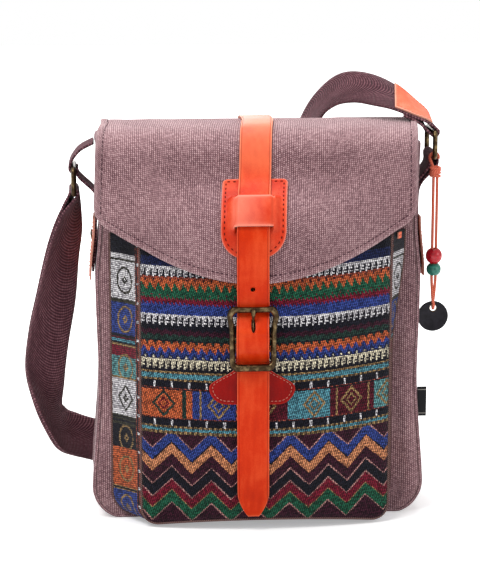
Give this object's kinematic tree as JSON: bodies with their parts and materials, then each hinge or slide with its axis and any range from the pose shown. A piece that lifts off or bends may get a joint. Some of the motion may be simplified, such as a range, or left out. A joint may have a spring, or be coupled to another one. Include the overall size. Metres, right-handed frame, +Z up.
{
  "type": "canvas messenger bag",
  "caption": "Upright canvas crossbody bag with a patterned woven front pocket, flap closed by a buckled leather strap, webbing shoulder strap on side rings, and a beaded charm.",
  "frame": {"origin": "middle of the flat bottom, on the surface that the bag stands on", "axes": "+Z up, front with the pocket and buckle facing -Y, +X to the right seen from the front"},
  "size_m": [0.3394, 0.2023, 0.3478],
  "materials": {
    "canvas": "washed cotton canvas, matt",
    "woven_cloth": "jacquard weave in many colours, matt",
    "orange_leather": "smooth waxed leather with raw edges",
    "red_leather": "smooth waxed leather, deeper red",
    "antique_brass": "aged brass, satin",
    "webbing": "ribbed cotton webbing, matt",
    "orange_cord": "waxed cotton cord",
    "red_glaze": "glossy bead",
    "green_glaze": "glossy bead",
    "black_disc": "dark enamelled disc, satin",
    "label_cloth": "woven tape, matt"
  },
  "bodies": {
    "root": {"side_gusset": "canvas", "front_panel": "canvas", "back_panel": "canvas", "pocket_gusset": "woven_cloth", "pocket_front": "woven_cloth", "pocket_corner_tab": "orange_leather", "flap": "canvas", "closure_strap": "orange_leather", "strap_keeper": "orange_leather", "buckle_anchor": "red_leather", "right_ring_tab": "webbing", "left_ring_tab": "webbing", "right_tab_patch": "orange_leather", "right_tab_rivet": "antique_brass", "left_tab_patch": "orange_leather", "left_tab_rivet": "antique_brass", "shoulder_strap": "webbing", "strap_end_patch": "orange_leather", "side_label": "label_cloth"},
    "right_ring": {"right_ring": "antique_brass"},
    "left_ring": {"left_ring": "antique_brass"},
    "charm": {"charm_cord": "orange_cord", "charm_bead_red": "red_glaze", "charm_bead_green": "green_glaze", "charm_disc": "black_disc"},
    "buckle": {"buckle_frame": "antique_brass"},
    "prong": {"buckle_prong": "antique_brass"},
    "slider": {"strap_slider": "antique_brass"}
  },
  "joints": [
    {"name": "right_ring_swing", "type": "hinge", "parent": "root", "child": "right_ring", "pos_m": [0.141, 0.008, 0.285], "axis": [0, 1, 0], "range_deg": [-20, 35], "deforming": ["shoulder_strap"]},
    {"name": "left_ring_swing", "type": "hinge", "parent": "root", "child": "left_ring", "pos_m": [-0.144, 0.008, 0.2785], "axis": [0, 1, 0], "range_deg": [-8, 40], "deforming": ["shoulder_strap"]},
    {"name": "charm_swing", "type": "hinge", "parent": "root", "child": "charm", "pos_m": [0.141, -0.0097, 0.285], "axis": [0, -1, 0], "range_deg": [0, 50]},
    {"name": "buckle_swing", "type": "hinge", "parent": "root", "child": "buckle", "pos_m": [-0.00876, -0.0892, 0.1585], "axis": [1, 0, 0], "range_deg": [-1.5, 1.5]},
    {"name": "prong_lift", "type": "hinge", "parent": "buckle", "child": "prong", "pos_m": [-0.00876, -0.0892, 0.1585], "axis": [1, 0, 0], "range_deg": [0, 10]},
    {"name": "slider_slide", "type": "slide", "parent": "root", "child": "slider", "axis": [0.0797, -0.0199, 0.9966], "range_m": [-0.01, 0.01], "deforming": ["shoulder_strap"]}
  ]
}
